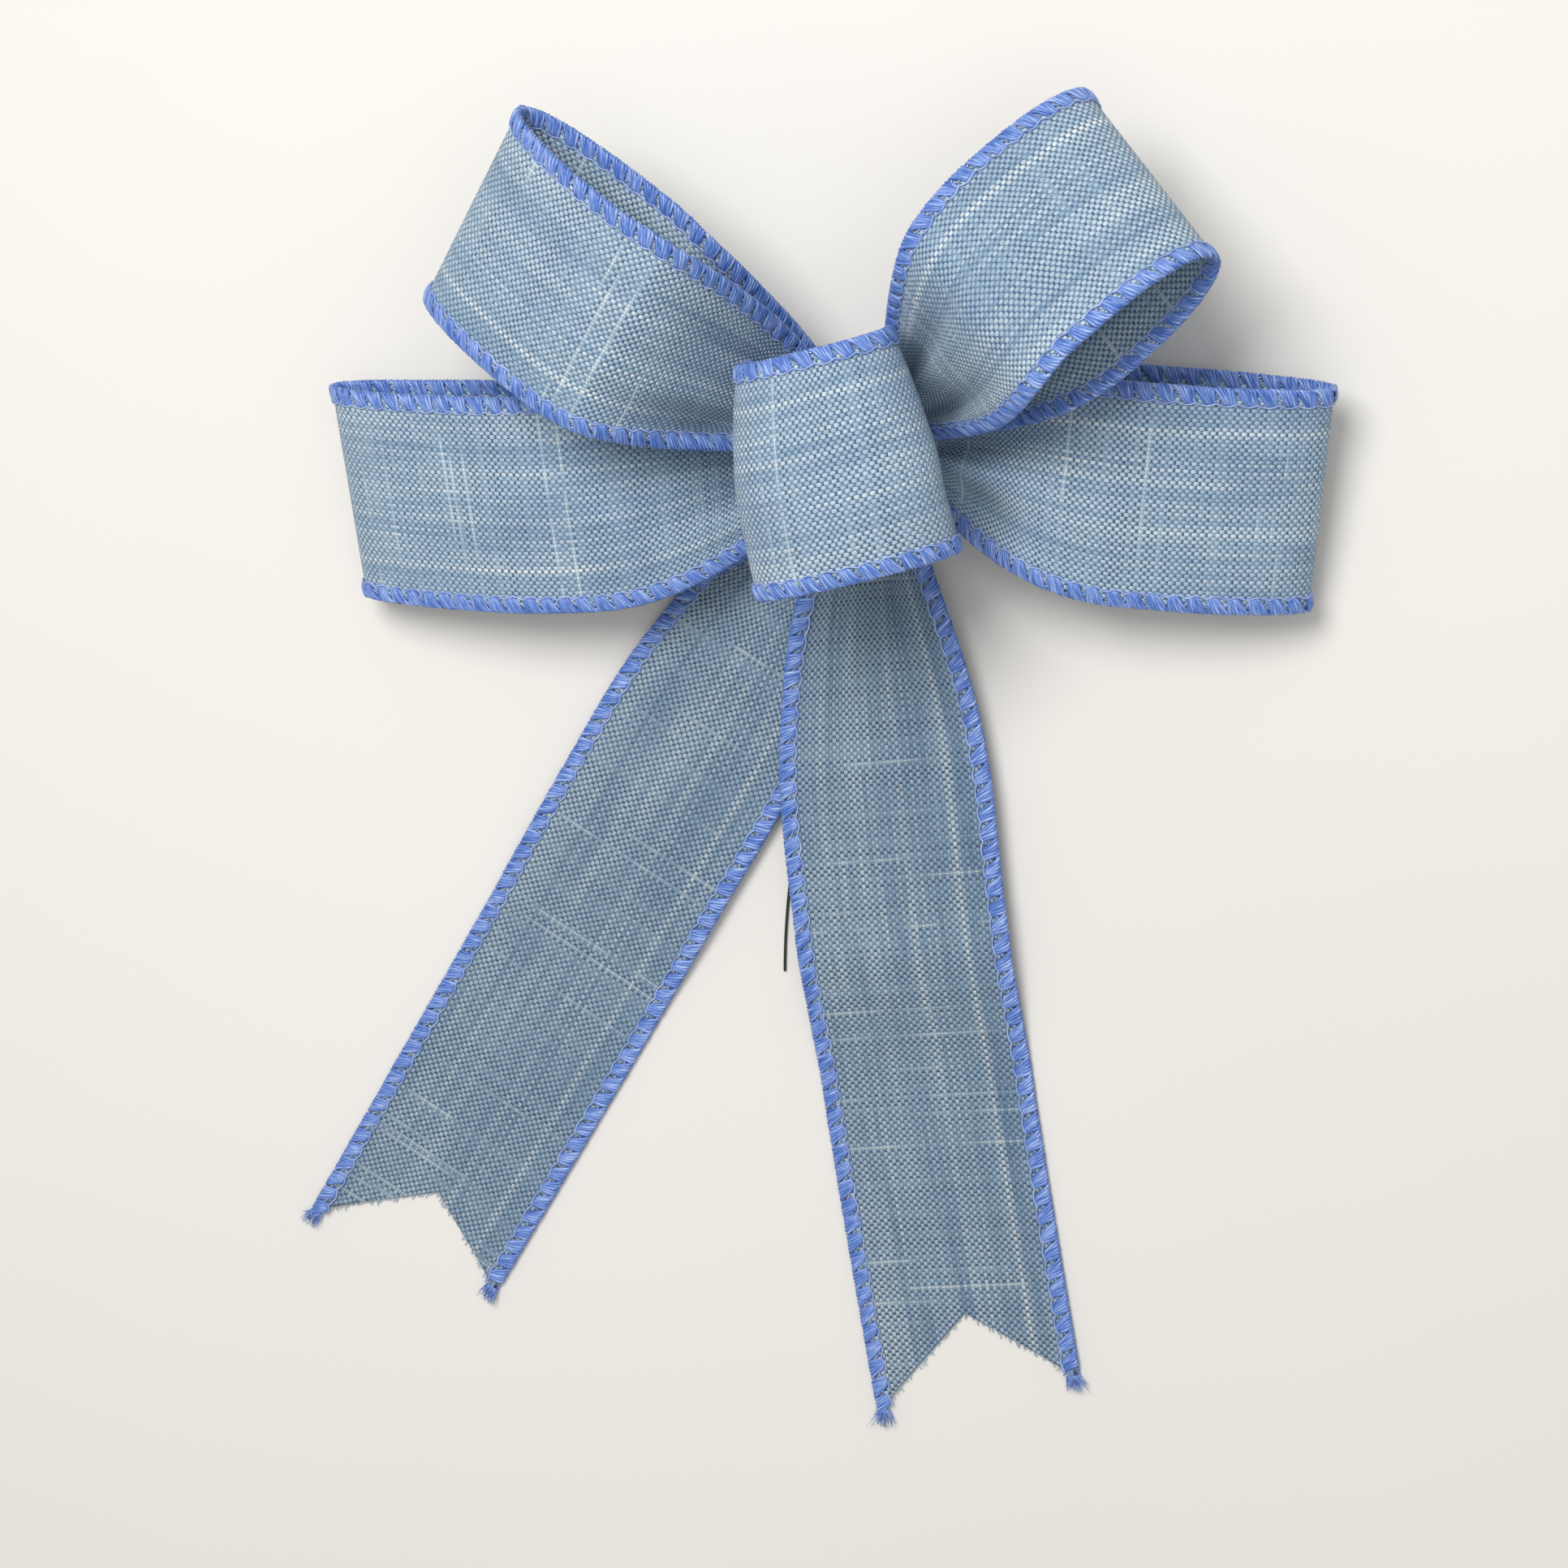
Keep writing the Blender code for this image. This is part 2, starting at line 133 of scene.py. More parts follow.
LOOP_SPREAD = 37.0 * MM              # how far from the gather a loop has its full width
LOOP_CROWN = 1.4 * MM                # how far a loop's layers arch out at mid-width
LOOP_CROWN_END = 0.8                 # the share of a loop's reach where that arch has gone
LOOP_ROLL_START, LOOP_ROLL_END = 0.15, 0.6             # shares of its reach between which a loop rolls over
LOOP_BOW_SKEW = 0.7                  # an exponent: below 1, the sideways bow is fullest nearer the gather
LOOP_SLACK = 0.4 * MM

KNOT_HEIGHT = 27.5 * MM              # the centre loop, from its root to its top
KNOT_OPENING = 13.8 * MM             # half of its opening, from left to right
KNOT_TURN = 14.0                     # how far its width is turned from the bow's length, in degrees
KNOT_SPREAD = 15.0 * MM              # how far above its root it has its full width
KNOT_TAPER = 0.14                    # how much smaller its opening is at its left edge, as a share
KNOT_CROWN = 2.6 * MM                # how much higher it is at mid-width
KNOT_SHEAR = 1.5 * MM                # half of how far its lower edge sits to the left of its upper one
KNOT_BULGE = 0.12                    # how much fuller it is at mid-width, as a share
KNOT_LEAN = np.array((1.6, -1.8, 0.0)) * MM            # how far its top is from straight above the gather
KNOT_PLEAT = 0.5 * MM
KNOT_PLEAT_REACH = 12.0 * MM
KNOT_PLEAT_FULL = 6.0 * MM
KNOT_SLACK = 0.35 * MM
KNOT_RIBBON = 100.0 * MM             # about the length of ribbon in it, for its slack waves

TAIL_SPREAD = 57.0 * MM              # how far from the gather a tail has its full width
TAIL_DIP_START, TAIL_REST = 86.0 * MM, 112.0 * MM      # where a tail starts down and where it rests
TAIL_REST_HEIGHT = 0.8 * MM
TAIL_BOW_SKEW = 0.8                  # an exponent, as for the loops
TAIL_PLEAT_REACH = 20.0 * MM
TAIL_SLACK = 0.12 * MM
TAIL_DIP = 0.45 * MM                 # how far the cloth sags between the thicker edges where it rests
TAIL_DIP_EDGE, TAIL_DIP_FULL = 0.9, 0.5                # places across where that sag starts and is full
CUP_PLACE = 17.0 * MM                # where a tail's edges curl up most, from the gather
CUP_LENGTH = 15.0 * MM
CUP_MIDDLE = 0.25                    # how far the middle rises with its edges there, as a share

TWIST_START, TWIST_END = 8.4 * MM, 20.0 * MM           # of the tie wire's twist, from the gather
TWIST_TURNS = 3
TWIST_RADIUS = 0.33 * MM
TWIST_HEIGHT = 0.62 * MM
TIE_WIRE_RADIUS = 0.25 * MM
WIRE_ENDS = {"left": (-1, 72.3 * MM, 15.8 * MM), "right": (1, 64.0 * MM, 4.6 * MM)}    # side, length, spread
WIRE_END_HEIGHT = 0.33 * MM
WIRE_END_DROP = 0.2                  # the share of an end's length in which it comes down to that height
WIRE_CLEARANCE = 0.3 * MM
WIRE_POINTS = 90
RING_GAP = pi / 6.0                  # half of the angle that the ring leaves open for the twist, in radians
RING_TRIM = 0.04                     # the share of the ring left out at each end, towards the twist

CORE_RADIUS = 8.5 * MM
CORE_FILL = 0.97                     # how much of that radius the pinched cloth takes up
CORE_WAIST = 0.55                    # its thickness under the tie wire, as a share
CORE_WAIST_LENGTH = 2.4 * MM
CORE_PLEATS, CORE_PLEAT_DEPTH = 13.0, 0.05             # round the core, and half their depth as a share
CORE_CREASES, CORE_CREASE_DEPTH = 29.0, 0.025
CORE_FULLNESS = 1.9                  # the higher, the more of the core's height has its full radius
CORE_CLOTH = 1.6                     # how much cloth is gathered into its girth, as a multiple
CORE_COLUMNS, CORE_LEVELS = 180, 37

joint_place = {joint["child"]: Vector(joint["pos_m"]) for joint in frame["joints"]}
KNOT_BASE = joint_place["centre_loop"].z
TIE = np.array((joint_place["centre_loop"].x, joint_place["centre_loop"].y, 0.0))
UP = np.array((0.0, 0.0, 1.0))

# The same rows as the CAD model, with headings and rolls in degrees and sizes in millimetres. The seeds, the
# depths of pleats and the dimples are only for the looks. A dimple's numbers are its distance from the
# gather, its place across, its depth, its length and its width across.
LOOPS = {
    "lower_left_loop": dict(
        heading=185.6, reach=92.4, roll=-9.0, heights=(6.5, 13.4, 10.0), opening=6.4, bow=4.6, rise=0.42,
        seed=1, pleat=1.1, dimples=((12.0, 0.15, 3.0, 6.0, 0.22), (10.0, -0.45, 2.0, 8.0, 0.30)),
    ),
    "lower_right_loop": dict(
        heading=-5.9, reach=76.8, roll=9.0, heights=(6.1, 12.6, 9.6), opening=6.4, bow=-1.4, rise=0.42,
        seed=2, pleat=1.1, dimples=((12.5, -0.50, 3.8, 6.0, 0.20), (12.0, 0.25, 2.4, 8.0, 0.20)),
    ),
    "upper_left_loop": dict(
        heading=146.6, reach=72.6, roll=-15.0, heights=(12.9, 36.6, 33.0), opening=6.8, bow=1.4, rise=0.46,
        seed=3, pleat=1.45, dimples=((13.5, 0.66, 5.2, 5.0, 0.19), (13.0, -0.30, 2.4, 8.0, 0.20)),
    ),
    "upper_right_loop": dict(
        heading=41.0, reach=67.2, roll=-23.0, heights=(12.9, 35.8, 33.0), opening=8.3, bow=-0.9, rise=0.45,
        seed=4, pleat=2.1, dimples=((9.0, -0.45, 3.2, 6.0, 0.24), (14.0, 0.25, 2.8, 9.0, 0.20)),
    ),
}
KNOT = dict(seed=5)
TAILS = {
    "left_tail": dict(
        heading=239.4, tips=(177.0, 159.9, 169.9), bow=0.0, crossing=2.4, cup=0.5,
        seed=6, pleat=0.35, pleat_rise=0.0, dimples=((16.0, 0.0, 0.4, 9.0, 0.35),),
    ),
    "right_tail": dict(
        heading=276.6, tips=(171.7, 154.0, 166.6), bow=-4.2, crossing=4.7, cup=3.2,
        seed=7, pleat=0.8, pleat_rise=0.7, dimples=((13.0, 0.18, 1.7, 8.0, 0.26),),
    ),
}


# ---------------------------------------------------------------- small helpers
def smooth(low, high, value):
    """Rises smoothly from 0 at low to 1 at high."""
    share = np.clip((value - low) / (high - low), 0.0, 1.0)
    return share * share * (3.0 - 2.0 * share)


def opening_share(distance, spread):
    """How much of its full width a ribbon has at this distance from the gather."""
    left = 1.0 - np.minimum(distance / spread, 1.0)
    pinched = GATHERED_HALF_WIDTH / (RIBBON_WIDTH / 2.0)
    return pinched + (1.0 - pinched) * (1.0 - left * left)


def flat_heading(degrees):
    """A level direction."""
    return np.array((cos(radians(degrees)), sin(radians(degrees)), 0.0))


def rows(vector, count):
    """The same vector for each point."""
    return np.broadcast_to(vector, (count, 3))


def column(values):
    """One value for each point, to multiply vectors with."""
    return np.asarray(values)[:, None]


def unit(vectors):
    return vectors / (np.linalg.norm(vectors, axis=1)[:, None] + 1e-12)


def teardrop(turn):
    """A closed loop's distance out (0 to 1) and height off its mid-line (-1 to 1), for turn 0 to 1."""
    angle = tau * turn
    return (1.0 - np.cos(angle)) / 2.0, -np.sin(angle) * np.sin(angle / 2.0) / TEARDROP_PEAK


def gathers(distance, across, seed, reach):
    """Soft pleats that fan out from the gather and die away along the ribbon."""
    rng = np.random.default_rng(seed)
    total = np.zeros_like(across)
    for folds, size in PLEAT_WAVES:
        phase = rng.uniform(0.0, tau)
        drift = rng.uniform(-0.5, 0.5)
        fade = np.exp(-distance / (reach * rng.uniform(0.75, 1.2)))
        total += size * fade * np.cos(pi * folds * across + phase + drift * distance / PLEAT_DRIFT)
    return total


def dimple_depth(distance, across, dimples):
    """Local hollows where the pinched cloth tucks in."""
    total = np.zeros_like(across)
    for place, middle, depth, length, width in dimples:
        along = (distance - place * MM) / (length * MM)
        total += depth * MM * np.exp(-along ** 2 - ((across - middle) / width) ** 2)
    return total


def waves(distance, across, seed, size):
    """The long slack waves of a ribbon that has been handled."""
    rng = np.random.default_rng(SLACK_SEED + seed)
    total = np.zeros_like(across)
    for _ in range(SLACK_WAVES):
        length = rng.uniform(*SLACK_LENGTHS) * MM
        slant = rng.uniform(-1.6, 1.6)
        strength = rng.uniform(0.4, 1.0)
        total += strength * np.cos(tau * distance / length + slant * across + rng.uniform(0.0, tau))
    return size * total / SLACK_SUM


# ---------------------------------------------------------------- ribbon shapes
# Each takes arrays of turn (0 to 1 along the ribbon) and across (-1 at its right edge to 1 at its left).
def loop_surface(loop, turn, across):
    """A flattened loop that leaves the gather, folds back at its far end and returns above itself."""
    out, lift = teardrop(turn)
    heading = flat_heading(loop["heading"])
    side = np.cross(UP, heading)
    roll = radians(loop["roll"]) * smooth(LOOP_ROLL_START, LOOP_ROLL_END, out)
    width_way = column(np.cos(roll)) * side + column(np.sin(roll)) * UP
    face_way = np.cross(rows(heading, len(turn)), width_way)
    distance = (loop["reach"] * MM - ROOT_RADIUS) * out
    root, middle, fold = (height * MM for height in loop["heights"])
    height = root + (middle - root) * smooth(0.0, loop["rise"], out)
    height = height + (fold - middle) * smooth(loop["rise"], 1.0, out)
    centre = TIE + column(ROOT_RADIUS + distance) * heading + column(height) * UP
    centre = centre + column(loop["bow"] * MM * np.sin(pi * out ** LOOP_BOW_SKEW)) * side
    front = turn > 0.5
    facing = np.where(front, 1.0, -1.0)
    crown = LOOP_CROWN * np.sin(pi * np.minimum(out / LOOP_CROWN_END, 1.0)) * (1.0 - across * across) * facing
    pleat = np.where(front, loop["pleat"] * gathers(distance, across, loop["seed"], PLEAT_REACH),
                     BACK_PLEAT * gathers(distance, across, loop["seed"] + BACK_SEED, PLEAT_REACH))
    pleat = pleat * MM * (1.0 - EDGE_HOLD * across ** 4) * smooth(PLEAT_START, PLEAT_FULL, distance)
    hollow = np.where(front, dimple_depth(distance, across, loop["dimples"]), 0.0)
    slack = waves(turn * 2.0 * loop["reach"] * MM, across, loop["seed"], LOOP_SLACK) * smooth(0.1, 0.4, out)
    offset = loop["opening"] * MM * lift - np.cos(pi * turn) * LAYER_GAP / 2.0 + crown
    offset = offset + pleat * facing + slack - hollow
    half_width = RIBBON_WIDTH / 2.0 * opening_share(distance, LOOP_SPREAD)
    return centre + column(offset) * face_way + column(across * half_width) * width_way


def knot_surface(knot, turn, across):
    """The centre loop, which stands on the gather."""
    out, lift = teardrop(turn)
    width_way = flat_heading(90.0 + KNOT_TURN)
    face_way = np.cross(UP, width_way)
    distance = KNOT_HEIGHT * out
    height = KNOT_BASE + distance + KNOT_CROWN * (1.0 - across * across) * out
    pleat = KNOT_PLEAT * gathers(distance, across, knot["seed"], KNOT_PLEAT_REACH)
    pleat = pleat * smooth(0.0, KNOT_PLEAT_FULL, distance)
    facing = np.where(turn > 0.5, 1.0, -1.0)
    slack = waves(turn * KNOT_RIBBON, across, knot["seed"], KNOT_SLACK) * smooth(0.2, 0.5, out)
    opening = KNOT_OPENING * (1.0 - KNOT_TAPER * across + KNOT_BULGE * (1.0 - across * across))
    offset = opening * lift - np.cos(pi * turn) * LAYER_GAP / 2.0 + pleat * facing + slack
    offset = offset - KNOT_SHEAR * across * out
    half_width = RIBBON_WIDTH / 2.0 * opening_share(distance, KNOT_SPREAD)
    centre = TIE + column(out) * KNOT_LEAN + column(height) * UP
    return centre + column(offset) * face_way + column(across * half_width) * width_way


def tail_surface(tail, turn, across):
    """A flat tail, where turn is the distance along it as a share of the left tip's distance."""
    left_tip = tail["tips"][0] * MM
    reach = ROOT_RADIUS + (left_tip - ROOT_RADIUS) * turn
    distance = reach - ROOT_RADIUS
    heading = flat_heading(tail["heading"])
    side = np.cross(UP, heading)
    resting = smooth(TAIL_DIP_START, TAIL_REST, reach)
    height = TAIL_REST_HEIGHT + (tail["crossing"] * MM - TAIL_REST_HEIGHT) * (1.0 - resting)
    pleat = tail["pleat"] * gathers(distance, across, tail["seed"], TAIL_PLEAT_REACH)
    pleat = MM * (pleat + tail["pleat_rise"] * np.exp(-distance / TAIL_PLEAT_REACH))
    height = height + pleat * smooth(PLEAT_START, PLEAT_FULL, distance)
    cup = tail["cup"] * MM * np.exp(-((distance - CUP_PLACE) / CUP_LENGTH) ** 2)
    height = height + cup * (CUP_MIDDLE + (1.0 - CUP_MIDDLE) * across * across)
    height = height - dimple_depth(distance, across, tail["dimples"])
    height = height + waves(reach, across, tail["seed"], TAIL_SLACK) * (1.0 - resting)
    height = height - TAIL_DIP * smooth(TAIL_DIP_EDGE, TAIL_DIP_FULL, np.abs(across)) * resting
    height = np.maximum(height, TAIL_REST_HEIGHT - TAIL_DIP)
    bow = tail["bow"] * MM * np.sin(pi * np.minimum(reach / left_tip, 1.0) ** TAIL_BOW_SKEW)
    half_width = RIBBON_WIDTH / 2.0 * opening_share(distance, TAIL_SPREAD)
    return TIE + column(reach) * heading + column(bow + across * half_width) * side + column(height) * UP


def tail_length_share(tail, across):
    """Where the notched end is, as a share of the left tip's distance, for each across."""
    left_tip, notch, right_tip = (tip * MM for tip in tail["tips"])
    tip = np.where(across > 0.0, right_tip, left_tip)
    length = notch + (tip - notch) * np.abs(across)
    return (length - ROOT_RADIUS) / (left_tip - ROOT_RADIUS)


def even_turns(surface, shape, step, across=0.0, end=1.0):
    """Turns spaced evenly along a line of the ribbon, and the distance along it at each."""
    fine = np.linspace(0.0, end, LENGTH_SAMPLES)
    points = surface(shape, fine, np.full_like(fine, across))
    run = np.concatenate(([0.0], np.cumsum(np.linalg.norm(np.diff(points, axis=0), axis=1))))
    count = max(int(round(run[-1] / step)), 2)
    stations = np.linspace(0.0, run[-1], count + 1)
    return np.interp(stations, run, fine), stations


# ---------------------------------------------------------------- meshes
def new_piece(name, points, faces, uvs, material, body, replaced=()):
    """A smooth mesh with UVs in metres, which rides on a body and stands for CAD nodes."""
    mesh = bpy.data.meshes.new(name)
    mesh.from_pydata(np.asarray(points).tolist(), [], faces)
    layer = mesh.uv_layers.new(name="metres")
    corners = np.empty(len(mesh.loops), np.int32)
    mesh.loops.foreach_get("vertex_index", corners)
    layer.data.foreach_set("uv", np.asarray(uvs, np.float32)[corners].ravel())
    mesh.materials.append(material)
    mesh.shade_smooth()
    made = bpy.data.objects.new(name, mesh)
    bpy.context.scene.collection.objects.link(made)
    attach(made, body)
    if replaced:
        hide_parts(*replaced)
    return made


def grid_faces(rows_count, columns_count, closed=False):
    """The quads of a grid of points; closed joins its last column to its first."""
    index = np.arange(rows_count * columns_count).reshape(rows_count, columns_count)
    after = np.roll(index, -1, axis=1) if closed else index[:, 1:]
    before = index if closed else index[:, :-1]
    return np.stack((before[:-1], before[1:], after[1:], after[:-1]), axis=-1).reshape(-1, 4).tolist()


def add_thickness(made, thickness):
    """Gives a sheet its thickness, in its final mesh."""
    solid = made.modifiers.new("Thickness", "SOLIDIFY")
    solid.thickness = thickness
    solid.offset = 0.0
    bpy.context.view_layer.update()
    evaluated = made.evaluated_get(bpy.context.evaluated_depsgraph_get())
    mesh = bpy.data.meshes.new_from_object(evaluated)
    sheet = made.data
    made.modifiers.clear()
    made.data = mesh
    bpy.data.meshes.remove(sheet)


def tucked_in(points, uvs, row_count, both_ends):
    """Adds a row at the gathered end or ends, which carries the cloth in to the core."""
    tucked = []
    for values in (points, uvs):
        grid = values.reshape(row_count, CLOTH_COLUMNS, -1)
        first = grid[:1] + (grid[:1] - grid[1:2]) * ROOT_TUCK
        last = grid[-1:] + (grid[-1:] - grid[-2:-1]) * ROOT_TUCK
        grid = np.concatenate((first, grid, last) if both_ends else (first, grid))
        tucked.append(grid.reshape(-1, values.shape[1]))
    return tucked


def cloth_piece(name, surface, shape, material, is_tail):
    """The woven strip of one ribbon, its UVs in metres. A tail's last rows fan out to its notched cut."""
    turns, stations = even_turns(surface, shape, CLOTH_ROW)
    edge = 1.0 - CLOTH_EDGE_INSET / (RIBBON_WIDTH / 2.0)
    across = np.linspace(-edge, edge, CLOTH_COLUMNS)
    turn_grid, across_grid = (grid.ravel() for grid in np.meshgrid(turns, across, indexing="ij"))
    if is_tail:
        limit = tail_length_share(shape, across_grid)
        square = tail_length_share(shape, np.zeros(1))[0] - NOTCH_ROWS
        stretch = (turn_grid - square) / (1.0 - square)
        turn_grid = np.where(turn_grid > square, square + (limit - square) * stretch, turn_grid)
    points = surface(shape, turn_grid, across_grid)
    along = np.interp(turn_grid, turns, stations) + shape["seed"] * RIBBON_WIDTH * UV_SPACING
    uvs = np.stack((along, across_grid * RIBBON_WIDTH / 2.0), axis=1)
    points, uvs = tucked_in(points, uvs, len(turns), not is_tail)
    faces = grid_faces(len(points) // len(across), len(across))
    made = new_piece(f"{name}_woven", points, faces, uvs, material, name, (f"{name}_cloth",))
    add_thickness(made, CLOTH_THICKNESS)


def edge_line(surface, shape, edge, step, end):
    """Points along the middle of an edge's band, its directions out, off the face and along, and the run."""
    across = edge * (1.0 - EDGE_BAND / RIBBON_WIDTH)
    turns, stations = even_turns(surface, shape, step, across, end)
    points = surface(shape, turns, np.full_like(turns, across))
    inner = surface(shape, turns, np.full_like(turns, across - edge * TILT_STEP))
    along = unit(np.gradient(points, axis=0))
    out = points - inner
    out = unit(out - along * column(np.sum(out * along, axis=1)))
    return points, out, np.cross(along, out), along, stations


class Threads:
    """Gathers many thread tubes into one mesh."""

    def __init__(self):
        self.points, self.faces, self.uvs, self.count = [], [], [], 0

    def add(self, path, radius, flat=None, sides=6, flatness=1.0, uv_shift=0.0):
        """A tube along path, squeezed to flatness in the direction flat; uv_shift varies its colour."""
        along = unit(np.gradient(path, axis=0))
        first = unit(np.cross(along, rows(UP, len(path)) if flat is None else flat))
        second = np.cross(first, along)
        angles = np.linspace(0.0, tau, sides, endpoint=False)
        radius = np.broadcast_to(radius, (len(path),))
        ring = (first[:, None, :] * np.cos(angles)[None, :, None]
                + second[:, None, :] * (np.sin(angles) * flatness)[None, :, None])
        points = path[:, None, :] + ring * radius[:, None, None]
        run = np.concatenate(([0.0], np.cumsum(np.linalg.norm(np.diff(path, axis=0), axis=1))))
        around = radius[:, None] * np.abs(angles - pi)[None, :]
        index = self.count + np.arange(len(path) * sides).reshape(len(path), sides)
        after = np.roll(index, -1, axis=1)
        quads = np.stack((index[:-1], after[:-1], after[1:], index[1:]), axis=-1).reshape(-1, 4)
        self.faces.extend(quads.tolist())
        self.faces.append(index[0][::-1].tolist())
        self.faces.append(index[-1].tolist())
        self.points.append(points.reshape(-1, 3))
        self.uvs.append(np.stack((np.repeat(run, sides) + uv_shift, around.ravel()), axis=1))
        self.count += len(path) * sides

    def build(self, name, material, body, replaced=()):
        """Makes one piece of the tubes."""
        points, uvs = np.concatenate(self.points), np.concatenate(self.uvs)
        return new_piece(name, points, self.faces, uvs, material, body, replaced)


def stitched_edge(name, side_name, surface, shape, edge, end, material, pale_material):
    """Overlocking: bundles of filament whipped over the rim, and fine threads that lock them on each face."""
    points, out, face, along, stations = edge_line(surface, shape, edge, STITCH_PITCH / STITCH_POINTS, end)
    rng = np.random.default_rng(shape["seed"] * 10 + int(edge))
    stitches = max(int(round(stations[-1] / STITCH_PITCH)), 2)
    pitch = stations[-1] / stitches
    phase = stations / pitch + np.interp(stations / pitch, np.arange(stitches + 1),
                                         rng.normal(0.0, STITCH_SCATTER, stitches + 1))
    angle = tau * phase
    swing, rise = np.cos(angle), np.sin(angle)
    half = EDGE_BAND / 2.0

    def place(across_shift, lift, slide=0.0):
        """The edge's points, moved outwards, off the face and along."""
        shifts = (np.broadcast_to(shift, phase.shape)[:, None] for shift in (across_shift, lift, slide))
        return points + sum(way * shift for way, shift in zip((out, face, along), shifts))

    threads = Threads()
    fan = NEEDLE_SHARE + (1.0 - NEEDLE_SHARE) * (swing + 1.0) / 2.0
    wide = STITCH_SHIFT + swing * (half - STITCH_MARGIN)
    lift = np.sign(rise) * np.abs(rise) ** STITCH_FULLNESS * STITCH_LIFT
    for strand in range(STITCH_STRANDS):
        stand = (strand - (STITCH_STRANDS - 1) / 2.0) / STITCH_STRANDS
        loose = STRAND_SLACK * np.sin(phase * rng.uniform(0.7, 1.6) + rng.uniform(0.0, tau))
        rounded = lift * (1.0 + STITCH_ROUNDING * np.cos(pi * stand * 2.0))
        path = place(wide + loose, rounded, stand * pitch * fan)
        threads.add(path, STRAND_RADIUS, face, flatness=STRAND_FLATNESS, uv_shift=0.017 * strand)
    replaced = (f"{name}_{side_name}_edge_stitching",)
    threads.build(f"{name}_{side_name}_overlock", material, name, replaced)
    locking = Threads()
    for facing in (1.0, -1.0):
        window = angle / 2.0 + facing * WINDOW_PHASE
        scallop = -half + SCALLOP_PLACE - SCALLOP_DEPTH * np.abs(np.sin(window))
        low = facing * (SCALLOP_LOW + SCALLOP_RISE * np.abs(np.cos(window)))
        locking.add(place(scallop, low), SCALLOP_RADIUS, face, sides=5, uv_shift=0.041)
        zigzag = ZIGZAG_PLACE + ZIGZAG_SWING * np.sin(2.0 * window)
        locking.add(place(zigzag, facing * ZIGZAG_HEIGHT), ZIGZAG_RADIUS, face, sides=5, uv_shift=0.067)
    locking.build(f"{name}_{side_name}_locking_thread", pale_material, name, replaced)


def edge_wire(name, side_name, surface, shape, edge, end, material):
    """The wire inside the rim of the stitches."""
    points, out, face, _, _ = edge_line(surface, shape, edge, EDGE_WIRE_STEP, end)
    threads = Threads()
    threads.add(points + out * (EDGE_BAND / 4.0), EDGE_WIRE_RADIUS, face, sides=8)
    threads.build(f"{name}_{side_name}_wire", material, name, (f"{name}_{side_name}_edge_wire",))


def frayed_tip(name, tail, edge, material):
    """The cut end of an overlocked edge, where its filaments have sprung apart."""
    rng = np.random.default_rng(tail["seed"] * 20 + int(edge))
    end = float(tail_length_share(tail, np.array([edge]))[0])
    ways = end - np.array(FRAY_ROOTS)
    threads = Threads()
    for _ in range(FRAY_FILAMENTS):
        start_across = edge * rng.uniform(*FRAY_PLACES)
        root = tail_surface(tail, ways, np.full(2, start_across))
        along = unit(root[1:] - root[:1])[0]
        side = np.cross(UP, along)
        length = rng.uniform(*FRAY_LENGTHS) * MM
        steps = np.linspace(0.0, 1.0, 9)
        splay = rng.normal(0.0, FRAY_SPLAY) + edge * FRAY_OUTWARD
        curl = rng.normal(0.0, FRAY_CURL) * MM
        rise = rng.uniform(*FRAY_RISES) * MM
        path = root[1] + column(steps * length) * (along + splay * side)
        path = path + column(curl * steps ** 2) * side + column(rise * steps + FRAY_LIFT) * UP
        path[:, 2] = np.maximum(path[:, 2], FRAY_REST)
        threads.add(path, FRAY_RADIUS * (1.0 - FRAY_TAPER * steps), sides=4, uv_shift=rng.uniform(0.0, 0.1))
    side_name = "left" if edge > 0.0 else "right"
    threads.build(f"{name}_{side_name}_frayed_tip", material, name)


def cut_threads(name, tail, material):
    """Short ends of the lengthwise threads along the notched cut."""
    rng = np.random.default_rng(tail["seed"] * 30)
    threads = Threads()
    count = int(RIBBON_WIDTH / WARP_PITCH)
    for index in range(count):
        across = -BAND_PLACE + 2.0 * BAND_PLACE * (index + rng.uniform(0.2, 0.8)) / count
        end = float(tail_length_share(tail, np.array([across]))[0])
        spots = tail_surface(tail, np.array((end - CUT_LOOK_BACK, end)), np.full(2, across))
        along = unit(spots[1:] - spots[:1])[0]
        side = np.cross(UP, along)
        length = rng.uniform(*CUT_LENGTHS) * MM
        steps = np.linspace(-CUT_ROOT, 1.0, 5)
        bend = rng.normal(0.0, CUT_BEND) * MM
        path = spots[1] + column(steps * length) * along + column(bend * steps ** 2) * side
        radius = CUT_RADIUS * (1.0 - CUT_TAPER * np.clip(steps, 0.0, 1.0))
        threads.add(path, radius, sides=5, uv_shift=rng.uniform(0.0, 0.1))
    threads.build(f"{name}_cut_threads", material, name)


